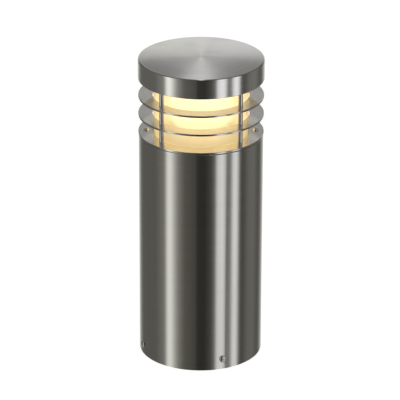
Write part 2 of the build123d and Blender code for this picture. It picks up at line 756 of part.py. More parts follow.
with BuildPart() as collar_plate:
    with BuildSketch(Plane.XY.offset(collar_bottom)):
        Circle(disc_radius)
    extrude(amount=collar_thickness)
    fillet(collar_plate.edges().filter_by(GeomType.CIRCLE), radius=disc_edge_radius)
    with BuildSketch(Plane.XY.offset(collar_bottom)):
        Circle(disc_bore)
        with stud_places:
            Circle(stud_hole)
        with head_screw_places:
            Circle(head_screw_diameter / 2 + screw_hole_fit)
    extrude(amount=collar_thickness, mode=Mode.SUBTRACT)
save(collar_plate.part, "collar_plate")

spacer_spans = {
    "spacers_upper": (louvre_upper_top, reflector_bottom),
    "spacers_middle": (louvre_lower_top, louvre_upper_bottom),
    "spacers_lower": (collar_top, louvre_lower_bottom),
}
for spacer_name, (span_bottom, span_top) in spacer_spans.items():
    with BuildPart() as spacers:
        with BuildSketch(Plane.XY.offset(span_bottom)):
            with stud_places:
                Circle(spacer_diameter / 2)
                Circle(stud_hole, mode=Mode.SUBTRACT)
        extrude(amount=span_top - span_bottom)
    save(spacers.part, spacer_name)

# ================================================================ the diffuser and what holds it
save(ring(diffuser_outer, diffuser_inner, diffuser_bottom, diffuser_top - diffuser_bottom), "diffuser")
save(ring(diffuser_outer, diffuser_inner, diffuser_top, seal_thickness), "diffuser_seal_upper")
save(ring(diffuser_outer, diffuser_inner, collar_bottom, seal_thickness), "diffuser_seal_lower")

with BuildPart() as retainer_ring:
    with BuildSketch(Plane.XY.offset(retainer_bottom)):
        Circle(retainer_outer)
        Circle(retainer_bore, mode=Mode.SUBTRACT)
        with stud_places:
            Circle(stud_hole, mode=Mode.SUBTRACT)
        with head_screw_places:
            Circle(head_screw_diameter / 2 + screw_hole_fit, mode=Mode.SUBTRACT)
    extrude(amount=retainer_thickness)
save(retainer_ring.part, "retainer_ring")

washer = ring(washer_diameter / 2, stud_hole, washer_bottom, washer_thickness)
save(group_of(washer, stud_places), "stud_washers")
stud_nut = hexagon_nut(nut_across_flats, nut_height, stud_diameter / 2 + thread_fit)
save(group_of(stud_nut, stud_places, Plane.XY.offset(washer_bottom - nut_height)), "stud_nuts")
head_screw = pan_screw(head_screw_diameter, head_screw_length, head_screw_head)
save(group_of(head_screw, head_screw_places, Plane.XY.offset(collar_top)), "head_screws")

# ================================================================ the lamp
with BuildPart() as lamp_globe:
    with BuildSketch(Plane.XZ):
        with BuildLine():
            CenterArc((0, globe_centre), globe_radius, -globe_joint_angle, 90 + globe_joint_angle)
            CenterArc((0, globe_centre), globe_inner_radius, -globe_inner_angle, 90 + globe_inner_angle)
            Line((0, lamp_top), (0, lamp_top - globe_wall))
            Line((globe_joint_radius, globe_joint), (globe_inner_joint, globe_joint))
        make_face()
    revolve(axis=Axis.Z)
save(lamp_globe.part, "lamp_globe")

with BuildPart() as lamp_housing:
    neck_top = lamp_cap_top + housing_neck_height
    flank_radius = housing_neck + housing_flank_share * (globe_joint_radius - housing_neck) - housing_hollow
    flank = (flank_radius, (globe_joint + neck_top) / 2)
    with BuildSketch(Plane.XZ):
        with BuildLine():
            ThreePointArc((globe_joint_radius, globe_joint), flank, (housing_neck, neck_top))
            Polyline(
                (housing_neck, neck_top),
                (housing_neck, lamp_cap_top),
                (0, lamp_cap_top),
                (0, led_board_bottom),
                (led_board_radius, led_board_bottom),
                (led_board_radius, globe_joint),
                (globe_joint_radius, globe_joint),
            )
        make_face()
    revolve(axis=Axis.Z)
save(lamp_housing.part, "lamp_housing")

save(ring(led_board_radius - seat_gap, led_board_bore, led_board_bottom, led_board_thickness), "led_board")

with BuildPart() as lamp_cap:
    ridge_root = lamp_cap_radius - thread_depth
    first_ridge = lamp_cap_bottom + thread_start
    with BuildSketch(Plane.XZ):
        with BuildLine():
            Polyline((ridge_root, lamp_cap_top), (0, lamp_cap_top), (0, lamp_cap_bottom))
            Line((0, lamp_cap_bottom), (ridge_root, lamp_cap_bottom))
            Line((ridge_root, lamp_cap_bottom), (ridge_root, first_ridge))
            for ridge in range(thread_ridges):
                root_low = first_ridge + ridge * thread_pitch
                root_high = root_low + thread_pitch
                crest = (lamp_cap_radius, (root_low + root_high) / 2)
                ThreePointArc((ridge_root, root_low), crest, (ridge_root, root_high))
            Line((ridge_root, first_ridge + thread_ridges * thread_pitch), (ridge_root, lamp_cap_top))
        make_face()
    revolve(axis=Axis.Z)
save(lamp_cap.part, "lamp_cap")

with BuildPart() as lamp_insulator:
    with BuildSketch(Plane.XZ):
        Polygon(
            (0, lamp_bottom + lamp_contact_height),
            (lamp_contact_radius + lamp_insulator_lip, lamp_bottom + lamp_contact_height),
            (lamp_cap_radius - thread_depth - lamp_insulator_lip, lamp_cap_bottom),
            (0, lamp_cap_bottom),
            align=None,
        )
    revolve(axis=Axis.Z)
save(lamp_insulator.part, "lamp_insulator")

with BuildPart() as lamp_contact:
    with BuildSketch(Plane.XY.offset(lamp_bottom)):
        Circle(lamp_contact_radius)
    extrude(amount=lamp_contact_height)
    fillet(lamp_contact.edges().group_by(Axis.Z)[0], radius=lamp_contact_edge)
save(lamp_contact.part, "lamp_contact")
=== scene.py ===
"""The finishes, fasteners and studio for a brushed-steel bollard light, built around its CAD frame.

Metres, +Z up.  The light stands on Z = 0 with its axis on the Z axis, and -Y faces the camera.
"""

import json
import math

import bmesh
import bpy
from mathutils import Euler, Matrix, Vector


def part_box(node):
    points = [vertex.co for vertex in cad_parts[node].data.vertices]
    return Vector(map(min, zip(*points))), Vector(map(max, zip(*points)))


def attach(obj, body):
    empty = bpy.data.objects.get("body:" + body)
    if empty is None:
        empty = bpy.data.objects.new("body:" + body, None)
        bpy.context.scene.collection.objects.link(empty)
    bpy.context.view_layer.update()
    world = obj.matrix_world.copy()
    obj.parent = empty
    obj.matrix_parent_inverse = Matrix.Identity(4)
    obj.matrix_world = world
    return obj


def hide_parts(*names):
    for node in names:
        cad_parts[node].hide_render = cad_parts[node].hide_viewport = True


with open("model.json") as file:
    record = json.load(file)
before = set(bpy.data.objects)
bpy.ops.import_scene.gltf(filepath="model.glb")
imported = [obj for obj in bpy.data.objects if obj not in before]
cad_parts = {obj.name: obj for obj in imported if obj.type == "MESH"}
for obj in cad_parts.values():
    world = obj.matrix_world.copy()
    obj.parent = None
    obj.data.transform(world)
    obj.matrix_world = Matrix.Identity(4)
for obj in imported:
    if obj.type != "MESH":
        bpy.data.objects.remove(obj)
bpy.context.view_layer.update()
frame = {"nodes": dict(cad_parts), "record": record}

MM = 0.001
record = frame["record"]


# ------------------------------------------------------------------ node helpers
def node(tree, kind, **settings):
    """A node of that kind.  Settings name its properties, and inputs gives its sockets' values."""
    made = tree.nodes.new(kind)
    inputs = settings.pop("inputs", {})
    for name, value in settings.items():
        setattr(made, name, value)
    for socket, value in inputs.items():
        if isinstance(value, bpy.types.NodeSocket):
            tree.links.new(value, made.inputs[socket])
        else:
            made.inputs[socket].default_value = value
    return made


def maths(tree, operation, *values, clamp=False):
    """The output of a Math node whose inputs are sockets or numbers."""
    inputs = dict(enumerate(values))
    return node(tree, "ShaderNodeMath", operation=operation, use_clamp=clamp, inputs=inputs).outputs[0]


def ease(tree, value, low, high, start=0.0, end=1.0):
    """A value that eases from start to end while its input goes from low to high."""
    inputs = {0: value, 1: low, 2: high, 3: start, 4: end}
    return node(tree, "ShaderNodeMapRange", interpolation_type="SMOOTHSTEP", inputs=inputs).outputs[0]


def ramp(tree, value, stops):
    """The colour output of a colour ramp.  A stop is a position and a grey or a colour."""
    made = node(tree, "ShaderNodeValToRGB", inputs={0: value})
    elements = made.color_ramp.elements
    while len(elements) < len(stops):
        elements.new(1.0)
    for element, (position, colour) in zip(elements, stops):
        element.position = position
        element.color = (colour, colour, colour, 1.0) if isinstance(colour, float) else (*colour, 1.0)
    return made.outputs[0]


def mix_colour(tree, factor, first, second, blend="MIX"):
    """The colour output of a Mix node whose inputs are sockets or values."""
    inputs = {0: factor}
    for index, value in ((6, first), (7, second)):
        inputs[index] = value if isinstance(value, bpy.types.NodeSocket) else (*value, 1.0)
    return node(tree, "ShaderNodeMix", data_type="RGBA", blend_type=blend, inputs=inputs).outputs[2]


def noise(tree, place, scale, detail=3.0, roughness=0.55):
    """The value of a noise texture at a place, about 0.5 on average."""
    inputs = {"Vector": place, "Scale": scale, "Detail": detail, "Roughness": roughness}
    return node(tree, "ShaderNodeTexNoise", inputs=inputs).outputs[0]


def own_place(tree):
    """The piece's own coordinates, in metres."""
    return node(tree, "ShaderNodeTexCoord").outputs["Object"]


def stretched(tree, rise):
    """The piece's own coordinates, with Z counted at a share, so that patterns on them stand tall."""
    return node(tree, "ShaderNodeMapping", inputs={0: own_place(tree), 3: (1.0, 1.0, rise)}).outputs[0]


def split(tree, vector):
    """The X, Y and Z of a vector."""
    return node(tree, "ShaderNodeSeparateXYZ", inputs={0: vector}).outputs


def off_axis(tree, x, y):
    """Distance from the Z axis."""
    squares = maths(tree, "MULTIPLY", x, x), maths(tree, "MULTIPLY", y, y)
    return maths(tree, "SQRT", maths(tree, "ADD", *squares))


# ------------------------------------------------------------------ effects that finishes share
def effect(name, inputs, build):
    """A shader node group.  Build takes the tree and its input sockets, and returns its outputs."""
    tree = bpy.data.node_groups.new(name, "ShaderNodeTree")
    for label, value in inputs.items():
        socket = tree.interface.new_socket(name=label, in_out="INPUT", socket_type="NodeSocketFloat")
        socket.default_value = value
    entry = tree.nodes.new("NodeGroupInput")
    results = build(tree, {label: entry.outputs[label] for label in inputs})
    for label in results:
        tree.interface.new_socket(name=label, in_out="OUTPUT", socket_type="NodeSocketFloat")
    leave = tree.nodes.new("NodeGroupOutput")
    for label, socket in results.items():
        tree.links.new(socket, leave.inputs[label])
    return tree


def tool_lines(tree, given):
    """Fine lines round the axis, as a lathe tool or a belt leaves them: long, uneven and broken."""
    x, y, z = split(tree, own_place(tree))
    radius = off_axis(tree, x, y)
    across = maths(tree, "MULTIPLY", maths(tree, "ADD", radius, z), given["Lines per Metre"])
    east = maths(tree, "MULTIPLY", maths(tree, "DIVIDE", x, radius), given["Breaks"])
    north = maths(tree, "MULTIPLY", maths(tree, "DIVIDE", y, radius), given["Breaks"])
    place = node(tree, "ShaderNodeCombineXYZ", inputs={0: across, 1: east, 2: north}).outputs[0]
    fine = noise(tree, place, 1.0, 2.0, 0.6)
    coarse = noise(tree, place, 0.19, 2.0, 0.5)
    together = maths(tree, "MULTIPLY_ADD", coarse, 0.45, maths(tree, "MULTIPLY", fine, 0.55))
    return {"Height": together, "Lines": ease(tree, together, 0.3, 0.7)}


def handling(tree, given):
    """Faint smudges and wiped patches, taller than they are wide."""
    place = stretched(tree, 0.45)
    patches = ease(tree, noise(tree, place, given["Size"], 4.0, 0.55), 0.5, 0.72)
    finer = maths(tree, "MULTIPLY", given["Size"], 5.0)
    wipes = ease(tree, noise(tree, place, finer, 3.0, 0.6), 0.35, 0.7)
    return {"Smudge": maths(tree, "MULTIPLY", patches, maths(tree, "MULTIPLY_ADD", wipes, 0.6, 0.4))}


def rubbed_edge(tree, given):
    """An edge that runs round the axis, polished unevenly by handling."""
    x, y, z = split(tree, own_place(tree))
    out = maths(tree, "SUBTRACT", off_axis(tree, x, y), given["Radius"])
    up = maths(tree, "SUBTRACT", z, given["Level"])
    gap = off_axis(tree, out, up)
    worn = ease(tree, maths(tree, "DIVIDE", gap, given["Width"]), 0.2, 1.0, 1.0, 0.0)
    patchy = ease(tree, noise(tree, own_place(tree), 90.0, 3.0), 0.3, 0.62, 0.35, 1.0)
    return {"Worn": maths(tree, "MULTIPLY", worn, patchy)}


def settled_dust(tree, given):
    """Dust that lies on what faces up, thicker in patches, with single grains."""
    facing = split(tree, node(tree, "ShaderNodeTexCoord").outputs["Normal"])[2]
    level = ease(tree, facing, 0.35, 0.95)
    film = ease(tree, noise(tree, own_place(tree), 32.0, 4.0), 0.42, 0.8)
    grains = ease(tree, noise(tree, own_place(tree), 1900.0, 2.0), 0.66, 0.74)
    amount = maths(tree, "MULTIPLY_ADD", grains, 0.7, maths(tree, "MULTIPLY", film, 0.55))
    lying = maths(tree, "MULTIPLY", amount, level)
    return {"Dust": maths(tree, "MULTIPLY", lying, given["Amount"], clamp=True)}


def moulded_grain(tree, given):
    """The pebbled skin of a moulding or casting, and its slow waviness."""
    place = own_place(tree)
    inputs = {"Vector": place, "Scale": given["Grains per Metre"], "Smoothness": 0.6}
    cells = node(tree, "ShaderNodeTexVoronoi", feature="SMOOTH_F1", inputs=inputs).outputs[0]
    slow = noise(tree, place, maths(tree, "MULTIPLY", given["Grains per Metre"], 0.06), 3.0)
    height = maths(tree, "MULTIPLY_ADD", slow, 0.5, maths(tree, "MULTIPLY", cells, 0.5))
    return {"Height": height, "Tone": ease(tree, height, 0.25, 0.75)}


def drawn_lines(tree, given):
    """Lines that run up and down a drawn or rolled metal."""
    lines = noise(tree, stretched(tree, 0.02), given["Lines per Metre"], 3.0, 0.6)
    return {"Height": lines, "Lines": ease(tree, lines, 0.32, 0.68)}


TOOL_LINES = effect("tool_lines", {"Lines per Metre": 2600.0, "Breaks": 2.0}, tool_lines)
HANDLING = effect("handling", {"Size": 14.0}, handling)
RUBBED_EDGE = effect("rubbed_edge", {"Radius": 0.06, "Level": 0.0, "Width": 0.0015}, rubbed_edge)
SETTLED_DUST = effect("settled_dust", {"Amount": 0.3}, settled_dust)
MOULDED_GRAIN = effect("moulded_grain", {"Grains per Metre": 1500.0}, moulded_grain)
DRAWN_LINES = effect("drawn_lines", {"Lines per Metre": 2500.0}, drawn_lines)


def use(tree, group, **values):
    """The outputs of a shared effect, placed in a material.  An underscore in a name is a space."""
    placed = node(tree, "ShaderNodeGroup", node_tree=group)
    for name, value in values.items():
        placed.inputs[name.replace("_", " ").title().replace("Per", "per")].default_value = value
    return placed.outputs


# ------------------------------------------------------------------ finishes
DUST_DULLS = 0.4  # what full dust adds to the roughness
STEEL_DUST = (0.42, 0.40, 0.36)
METAL_DUST = (0.4, 0.38, 0.34)
SKIN_DUST = (0.45, 0.42, 0.37)
OPAL_DUST = (0.5, 0.46, 0.38)
RUBBED_STEEL = (0.78, 0.77, 0.74)
TOOL_LINE_DEPTH = 0.0012 * MM


def shade(tone, share):
    """The tone made darker or brighter, and no more than white."""
    return tuple(min(1.0, share * c) for c in tone)


def new_finish(name, **settings):
    """A material, its tree and its shader, with the shader's plain values set."""
    material = bpy.data.materials.new(name)
    material.use_nodes = True
    tree = material.node_tree
    shader = tree.nodes["Principled BSDF"]
    for socket, value in settings.items():
        shader.inputs[socket.replace("_", " ")].default_value = value
    return material, tree, shader


def relief(tree, shader, height, depth):
    """Bump from a height that goes from 0 to 1, of that depth in metres."""
    bump = node(tree, "ShaderNodeBump", inputs={"Strength": 1.0, "Distance": depth, "Height": height})
    tree.links.new(bump.outputs[0], shader.inputs["Normal"])


def turned_steel(name, tone, wall_sheen, face_sheen, edges, grain):
    """Stainless steel worked round the light's axis.

    The tone is its colour.  The sheens are the roughness of its upright walls and of its level faces.
    Edges are the radius and level of the rims that hands have rubbed.
    """
    material, tree, shader = new_finish(name, Metallic=1.0, Anisotropic=1.0, Anisotropic_Rotation=0.25)
    tangent = node(tree, "ShaderNodeTangent", direction_type="RADIAL", axis="Z")
    tree.links.new(tangent.outputs[0], shader.inputs["Tangent"])
    lines = use(tree, TOOL_LINES, lines_per_metre=grain)
    smudge = use(tree, HANDLING, size=13.0)["Smudge"]
    dusty = use(tree, SETTLED_DUST, amount=0.12)["Dust"]
    colour = mix_colour(tree, lines["Lines"], shade(tone, 0.97), shade(tone, 1.025))
    colour = mix_colour(tree, maths(tree, "MULTIPLY", smudge, 0.3), colour, shade(tone, 0.88))
    up = maths(tree, "ABSOLUTE", split(tree, node(tree, "ShaderNodeTexCoord").outputs["Normal"])[2])
    sheen = ease(tree, up, 0.3, 0.9, wall_sheen, face_sheen)
    roughness = maths(tree, "MULTIPLY_ADD", maths(tree, "SUBTRACT", lines["Lines"], 0.5), 0.03, sheen)
    roughness = maths(tree, "MULTIPLY_ADD", smudge, 0.03, roughness)
    for radius, level in edges:
        worn = use(tree, RUBBED_EDGE, radius=radius, level=level)["Worn"]
        colour = mix_colour(tree, maths(tree, "MULTIPLY", worn, 0.6), colour, RUBBED_STEEL)
        roughness = maths(tree, "MULTIPLY_ADD", worn, -0.08, roughness)
    colour = mix_colour(tree, dusty, colour, STEEL_DUST)
    roughness = maths(tree, "MULTIPLY_ADD", dusty, DUST_DULLS, roughness)
    tree.links.new(colour, shader.inputs["Base Color"])
    tree.links.new(roughness, shader.inputs["Roughness"])
    tree.links.new(maths(tree, "MULTIPLY_ADD", dusty, -0.6, 1.0), shader.inputs["Metallic"])
    relief(tree, shader, lines["Height"], TOOL_LINE_DEPTH)
    return material


def plain_metal(name, tone, sheen, patches=0.12, lines=0.0, tint=None, depth=0.003 * MM):
    """Metal with no worked direction: rolled, plated or drawn."""
    material, tree, shader = new_finish(name, Metallic=1.0)
    smudge = use(tree, HANDLING, size=60.0)["Smudge"]
    dusty = use(tree, SETTLED_DUST, amount=0.2)["Dust"]
    cloud = ease(tree, noise(tree, own_place(tree), 170.0, 4.0), 0.3, 0.7)
    colour = mix_colour(tree, cloud, shade(tone, 1 - patches), tone)
    if tint:
        stain = ease(tree, noise(tree, own_place(tree), 55.0), 0.4, 0.7)
        colour = mix_colour(tree, maths(tree, "MULTIPLY", stain, 0.5), colour, tint)
    roughness = maths(tree, "MULTIPLY_ADD", cloud, 0.4 * sheen, 0.8 * sheen)
    roughness = maths(tree, "MULTIPLY_ADD", smudge, 0.08, roughness)
    height = cloud
    if lines:
        drawn = use(tree, DRAWN_LINES, lines_per_metre=lines)
        colour = mix_colour(tree, maths(tree, "MULTIPLY", drawn["Lines"], 0.3), colour, shade(tone, 0.75))
        height = drawn["Height"]
    tree.links.new(mix_colour(tree, dusty, colour, METAL_DUST), shader.inputs["Base Color"])
    tree.links.new(maths(tree, "MULTIPLY_ADD", dusty, DUST_DULLS, roughness), shader.inputs["Roughness"])
    relief(tree, shader, height, depth)
    return material


def moulding(name, tone, sheen, grains, depth=0.02 * MM, mottle=0.1, **settings):
    """A moulded, cast, glazed or enamelled skin."""
    material, tree, shader = new_finish(name, **settings)
    grain = use(tree, MOULDED_GRAIN, grains_per_metre=grains)
    smudge = use(tree, HANDLING, size=45.0)["Smudge"]
    dusty = use(tree, SETTLED_DUST, amount=0.25)["Dust"]
    colour = mix_colour(tree, grain["Tone"], shade(tone, 1 - mottle), tone)
    colour = mix_colour(tree, maths(tree, "MULTIPLY", smudge, 0.25), colour, shade(tone, 0.8))
    roughness = maths(tree, "MULTIPLY_ADD", grain["Tone"], 0.08, sheen - 0.04)
    roughness = maths(tree, "MULTIPLY_ADD", smudge, 0.08, roughness)
    roughness = maths(tree, "MULTIPLY_ADD", dusty, DUST_DULLS, roughness, clamp=True)
    tree.links.new(mix_colour(tree, dusty, colour, SKIN_DUST), shader.inputs["Base Color"])
    tree.links.new(roughness, shader.inputs["Roughness"])
    relief(tree, shader, grain["Height"], depth)
    return material


def lit_opal(name, tone, glow, start, fall, strength, **settings):
    """Opal plastic that glows by its own emission.  Its glow colours follow each other away from a start
    level.
    On the diffuser this glow is painted light: the lamp's light through the shell, painted onto it.
    """
    material, tree, shader = new_finish(name, Emission_Strength=strength, **settings)
    place = own_place(tree)
    z = split(tree, place)[2]
    # Painted light on the diffuser: the glow changes with distance from its top level, as the lamp's light
    # and the cap's shade would fall.
    distance = maths(tree, "ABSOLUTE", maths(tree, "SUBTRACT", z, start))
    away = maths(tree, "DIVIDE", distance, fall, clamp=True)
    cloudy = noise(tree, place, 60.0, 3.0)
    flow = maths(tree, "MULTIPLY_ADD", cloudy, 0.12, maths(tree, "SUBTRACT", away, 0.06))
    light = ramp(tree, flow, [(0.0, glow[0]), (0.5, glow[1]), (1.0, glow[2])])
    dusty = use(tree, SETTLED_DUST, amount=0.15)["Dust"]
    grain = use(tree, MOULDED_GRAIN, grains_per_metre=260.0)
    light = mix_colour(tree, maths(tree, "MULTIPLY", grain["Tone"], 0.08), light, glow[1])
    tree.links.new(light, shader.inputs["Emission Color"])
    colour = mix_colour(tree, grain["Tone"], shade(tone, 0.94), tone)
    tree.links.new(mix_colour(tree, dusty, colour, OPAL_DUST), shader.inputs["Base Color"])
    roughness = maths(tree, "MULTIPLY_ADD", grain["Tone"], 0.06, 0.3)
    tree.links.new(maths(tree, "MULTIPLY_ADD", dusty, DUST_DULLS, roughness), shader.inputs["Roughness"])
    relief(tree, shader, grain["Height"], 0.01 * MM)
    return material


def striped_lead(name):
    """Earth lead: green, with a yellow stripe along each side."""
    material = moulding(name, (0.10, 0.34, 0.06), 0.45, 2600.0)
    tree = material.node_tree
    shader = tree.nodes["Principled BSDF"]
    base = shader.inputs["Base Color"].links[0].from_socket
    x, y, _ = split(tree, node(tree, "ShaderNodeTexCoord").outputs["Normal"])
    across = maths(tree, "ADD", maths(tree, "MULTIPLY", x, 0.7), maths(tree, "MULTIPLY", y, 0.7))
    side = maths(tree, "ABSOLUTE", across)
    edge = maths(tree, "MULTIPLY_ADD", noise(tree, own_place(tree), 900.0), 0.1, side)
    stripe = ease(tree, edge, 0.66, 0.72)
    tree.links.new(mix_colour(tree, stripe, base, (0.78, 0.62, 0.05)), shader.inputs["Base Color"])
    return material


CAP_CROWN = 2.0 * MM
cap_low, cap_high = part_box("cap")
tube_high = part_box("post_tube")[1]
disc_tops = [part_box(disc)[1] for disc in ("louvre_upper", "louvre_lower", "collar_plate")]

POST_STEEL = (0.66, 0.645, 0.615)
DISC_STEEL = (0.71, 0.695, 0.67)
CAP_STEEL = (0.80, 0.785, 0.765)
# Painted glow of the diffuser, from its top down: a painted shade, dimmer and browner, under the cap;
# brightest below it; warmer further down.
DIFFUSER_PAINTED_GLOW = [(0.80, 0.70, 0.55), (1.0, 0.87, 0.60), (1.0, 0.80, 0.44)]
GLOBE_GLOW = [(1.0, 0.96, 0.88), (1.0, 0.92, 0.78), (1.0, 0.85, 0.60)]
finishes = {
    "brushed_post": turned_steel("brushed_post", POST_STEEL, 0.19, 0.3,
                                 [(tube_high.x, tube_high.z), (tube_high.x, 0.0)], 2300.0),
    "turned_cap": turned_steel("turned_cap", CAP_STEEL, 0.19, 0.14,
                               [(cap_high.x, cap_high.z - CAP_CROWN), (cap_high.x, cap_low.z)], 2000.0),
    "louvre_steel": turned_steel("louvre_steel", DISC_STEEL, 0.22, 0.22,
                                 [(disc_tops[-1].x, top.z) for top in disc_tops], 2000.0),
    "spacer_steel": plain_metal("spacer_steel", (0.82, 0.76, 0.74), 0.03, lines=2400.0,
                                depth=0.0004 * MM),
    "inner_steel": plain_metal("inner_steel", (0.52, 0.52, 0.51), 0.38, lines=900.0),
    "bright_screws": plain_metal("bright_screws", (0.86, 0.855, 0.84), 0.22, depth=0.001 * MM),
    "zinc_plate": plain_metal("zinc_plate", (0.62, 0.64, 0.66), 0.3, 0.25, tint=(0.62, 0.58, 0.46)),
    "zinc_screws": plain_metal("zinc_screws", (0.64, 0.65, 0.66), 0.24, 0.2, tint=(0.66, 0.6, 0.42)),
    "nickel_shell": plain_metal("nickel_shell", (0.72, 0.70, 0.65), 0.16),
    "brass_parts": plain_metal("brass_parts", (0.80, 0.60, 0.28), 0.24, 0.3, tint=(0.55, 0.36, 0.16)),
    "tinned_copper": plain_metal("tinned_copper", (0.72, 0.71, 0.69), 0.3, 0.2),
    "cast_base": moulding("cast_base", (0.30, 0.30, 0.31), 0.5, 1400.0, 0.06 * MM, 0.2, Metallic=0.85),
    "black_rubber": moulding("black_rubber", (0.026, 0.026, 0.027), 0.72, 1800.0, 0.03 * MM, 0.3),
    "white_ceramic": moulding("white_ceramic", (0.86, 0.85, 0.81), 0.18, 160.0, 0.03 * MM, 0.05,
                              Coat_Weight=0.6),
    "grey_nylon": moulding("grey_nylon", (0.70, 0.70, 0.68), 0.42, 1900.0, Subsurface_Weight=0.1),
    "brown_lead": moulding("brown_lead", (0.17, 0.075, 0.035), 0.45, 2600.0),
    "blue_lead": moulding("blue_lead", (0.045, 0.16, 0.42), 0.45, 2600.0),
    "green_lead": striped_lead("green_lead"),
    "white_enamel": moulding("white_enamel", (0.86, 0.86, 0.84), 0.28, 700.0, mottle=0.05),
    "silicone_seal": moulding("silicone_seal", (0.78, 0.77, 0.71), 0.35, 900.0, Subsurface_Weight=0.4),
    "lamp_plastic": moulding("lamp_plastic", (0.86, 0.86, 0.83), 0.26, 2100.0, 0.006 * MM, 0.05),
    "white_board": moulding("white_board", (0.88, 0.88, 0.86), 0.35, 1200.0, 0.01 * MM, 0.06),
    "black_insulator": moulding("black_insulator", (0.02, 0.02, 0.024), 0.16, 500.0, 0.01 * MM, 0.2),
    # The diffuser's glow is painted light on its shell; its transmission and coat are real.
    "opal_diffuser": lit_opal("opal_diffuser", (1.0, 0.975, 0.92), DIFFUSER_PAINTED_GLOW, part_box("diffuser")[1].z,
                              65 * MM, 0.33, Transmission_Weight=0.7, IOR=1.2, Coat_Weight=1.0,
                              Coat_Roughness=0.06, Coat_Tint=(1.0, 0.96, 0.85, 1.0)),
    "opal_globe": lit_opal("opal_globe", (0.95, 0.92, 0.82), GLOBE_GLOW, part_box("lamp_globe")[1].z,
                           45 * MM, 0.66),
}
for row in record["subparts"]:
    shell = frame["nodes"][row["node"]].data
    shell.materials.clear()
    shell.materials.append(finishes[row["material_slot"]])


# ------------------------------------------------------------------ fasteners
def mesh_object(name, vertices, faces):
    """An object at the origin with those vertices and faces."""
    mesh = bpy.data.meshes.new(name)
    mesh.from_pydata(vertices, [], faces)
    made = bpy.data.objects.new(name, mesh)
    bpy.context.scene.collection.objects.link(made)
    return made


def outward_faces(made):
    """The object, with all the faces of its closed mesh turned outwards."""
    repair = bmesh.new()
    repair.from_mesh(made.data)
    bmesh.ops.recalc_face_normals(repair, faces=repair.faces)
    repair.to_mesh(made.data)
    repair.free()
    return made


def turned_mesh(name, profile, around, thread):
    """A closed shape turned about Z from its profile, whose first and last points are on the axis.

    Thread gives the change of radius for a level and a share of a turn.
    """
    vertices, faces = [(0, 0, profile[0][1])], []
    for radius, level in profile[1:-1]:
        for step in range(around):
            share = step / around
            out = radius + thread(level, share)
            vertices.append((out * math.cos(math.tau * share), out * math.sin(math.tau * share), level))
    vertices.append((0, 0, profile[-1][1]))
    rings = len(profile) - 2
    last = len(vertices) - 1
    for step in range(around):
        beside = (step + 1) % around
        faces.append((0, 1 + beside, 1 + step))
        for ring in range(rings - 1):
            low, high = 1 + ring * around, 1 + (ring + 1) * around
            faces.append((low + step, low + beside, high + beside, high + step))
        top = 1 + (rings - 1) * around
        faces.append((last, top + step, top + beside))
    return outward_faces(mesh_object(name, vertices, faces))


def baked(made, name):
    """The object's mesh with its modifiers applied, as a new object, in place of the old one."""
    bpy.context.view_layer.update()
    shape = made.evaluated_get(bpy.context.evaluated_depsgraph_get())
    mesh = bpy.data.meshes.new_from_object(shape)
    mesh.name = name
    bpy.data.objects.remove(made)
    result = bpy.data.objects.new(name, mesh)
    bpy.context.scene.collection.objects.link(result)
    return result


def thread_wave(pitch, depth, start, end):
    """A rounded thread's change of radius, which fades out at both ends."""
    def wave(level, share):
        phase = (level / pitch - share) % 1.0
        fade = min(1.0, max(0.0, (level - start) / pitch), max(0.0, (end - level) / pitch))
        return depth * fade * (0.5 - 0.5 * math.cos(math.tau * phase))
    return wave


def cross_cutter(head_width, head_height):
    """A tapered cross that cuts the recess of a pan head."""
    reach, half, taper = 0.27 * head_width, 0.06 * head_width, 0.72
    top, floor = 1.2 * head_height, 0.35 * head_height
    corners = [(reach, -half), (reach, half), (half, half), (half, reach), (-half, reach), (-half, half)]
    corners += [(-x, -y) for x, y in corners]
    vertices = [(x, y, top) for x, y in corners] + [(taper * x, taper * y, floor) for x, y in corners]
    count = len(corners)
    ends = [tuple(range(count)), tuple(range(2 * count - 1, count - 1, -1))]
    sides = [(n, (n + 1) % count, count + (n + 1) % count, count + n) for n in range(count)]
    return outward_faces(mesh_object("cutter", vertices, ends + sides))


SCREW_AROUND = 40
THREAD_STEPS = 6  # rings for each turn of a thread
CROWN_STEPS = 9
SCREW_TIP = 0.4 * MM
SCREW_NECK = 0.2 * MM  # plain shank left under the head
TIP_SHARE = 0.72  # of the shank's radius
THREAD_SHARE = 0.13  # thread's depth, of the shank's diameter
RECESS_BEVEL = 0.06 * MM


def pan_screw(name, diameter, length, head, pitch):
    """A pan-head screw with a cross recess and a rolled thread.

    Its head sits on Z = 0 and its shank points down.  Head is the head's diameter and height.
    """
    radius, wall, head_height = diameter / 2, head[0] / 2, head[1]
    rim = 0.35 * head_height
    start, steps = SCREW_TIP - length, int(THREAD_STEPS * length / pitch)
    threaded = length - SCREW_TIP - SCREW_NECK
    profile = [(0, -length), (TIP_SHARE * radius, -length)]
    profile += [(radius, start + threaded * step / steps) for step in range(steps + 1)]
    profile += [(radius, 0.0), (0.95 * wall, 0.0), (wall, 0.05 * wall), (wall, rim)]
    for step in range(1, CROWN_STEPS):
        lean = math.pi / 2 * step / CROWN_STEPS
        out = wall * (1 - 0.24 * math.sin(lean) ** 2) * math.cos(lean) ** 0.55
        profile.append((out, rim + (head_height - rim) * math.sin(lean)))
    profile.append((0.0, head_height))
    wave = thread_wave(pitch, THREAD_SHARE * diameter, -length, -0.25 * pitch)
    screw = turned_mesh(name, profile, SCREW_AROUND, lambda level, share: -wave(level, share))
    cutter = cross_cutter(head[0], head_height)
    cut = screw.modifiers.new("recess", "BOOLEAN")
    cut.operation, cut.object, cut.solver = "DIFFERENCE", cutter, "EXACT"
    bevel = screw.modifiers.new("soft_edges", "BEVEL")
    bevel.width, bevel.segments, bevel.use_clamp_overlap = RECESS_BEVEL, 2, True
    bevel.limit_method, bevel.angle_limit = "ANGLE", math.radians(50)
    result = baked(screw, name)
    bpy.data.objects.remove(cutter)
    return result


